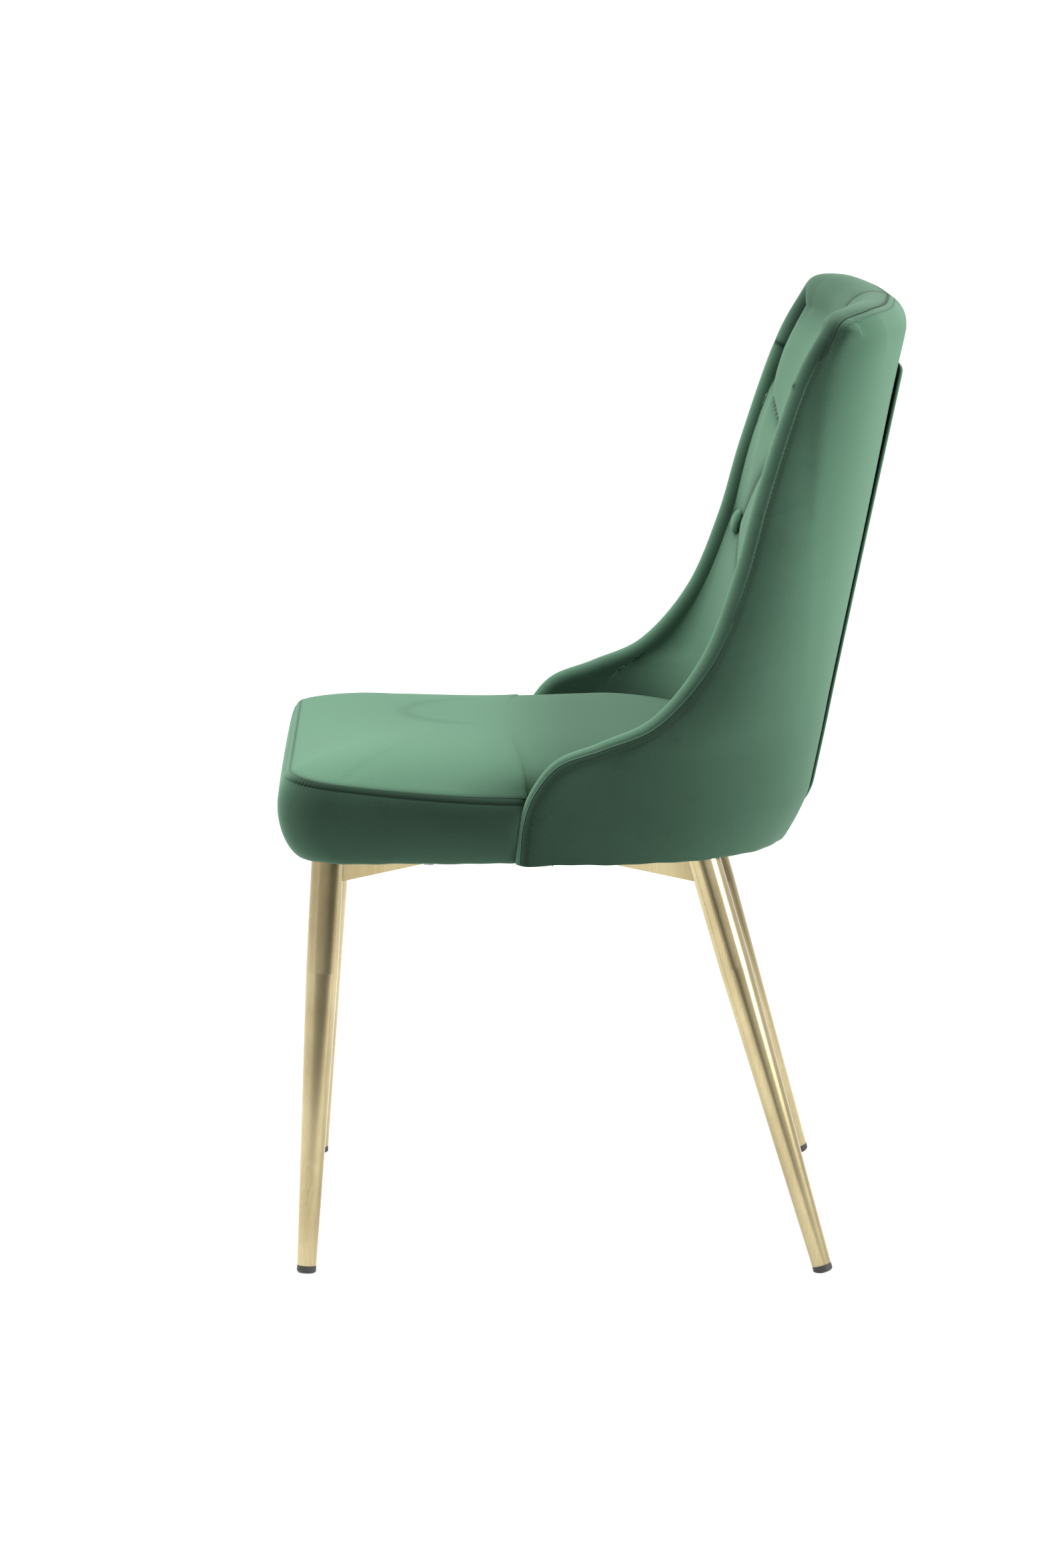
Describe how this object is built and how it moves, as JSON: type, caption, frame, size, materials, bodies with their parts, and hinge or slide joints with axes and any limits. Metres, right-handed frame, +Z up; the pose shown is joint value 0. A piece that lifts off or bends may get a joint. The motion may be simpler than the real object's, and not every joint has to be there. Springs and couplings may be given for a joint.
{
  "type": "dining chair",
  "caption": "Upholstered dining chair with a wrap-around button-tufted back, a padded seat and splayed tapered tube legs.",
  "frame": {"origin": "on the floor, at the centre of the bounding box's bottom face", "axes": "+Z up; the chair faces -Y; +X is the sitter's left side"},
  "size_m": [0.5, 0.6242, 0.9464],
  "materials": {
    "frame_metal": "brushed champagne gold",
    "foot_plastic": "matt black moulded plastic",
    "fastener_steel": "zinc plated steel",
    "lining_cloth": "black non-woven lining",
    "plywood": "unfinished birch plywood",
    "hardboard": "brown hardboard",
    "foam": "cut polyurethane foam",
    "wadding": "white polyester wadding",
    "velvet": "sage green velvet with a short pile",
    "cord": "waxed twine"
  },
  "bodies": {
    "root": {"cross_bar": "frame_metal", "half_bar_front_right": "frame_metal", "half_bar_rear_left": "frame_metal", "leg_front_left": "frame_metal", "leg_front_right": "frame_metal", "leg_rear_left": "frame_metal", "leg_rear_right": "frame_metal", "foot_front_left": "foot_plastic", "foot_front_right": "foot_plastic", "foot_rear_left": "foot_plastic", "foot_rear_right": "foot_plastic", "frame_washers": "fastener_steel", "frame_bolts": "fastener_steel", "frame_nuts": "fastener_steel", "base_lining": "lining_cloth", "lining_staples": "fastener_steel", "base_board": "plywood", "shell_screws": "fastener_steel", "seat_foam": "foam", "seat_top_cover": "velvet", "seat_boxing_cover": "velvet", "shell_board": "plywood", "back_wadding": "wadding", "back_foam": "foam", "back_inner_cover": "velvet", "back_outer_cover": "velvet", "rear_panel_board": "hardboard", "rear_panel_cover": "velvet", "button_upper": "velvet", "button_left": "velvet", "button_right": "velvet", "button_lower": "velvet", "button_ties": "cord"}
  },
  "joints": []
}
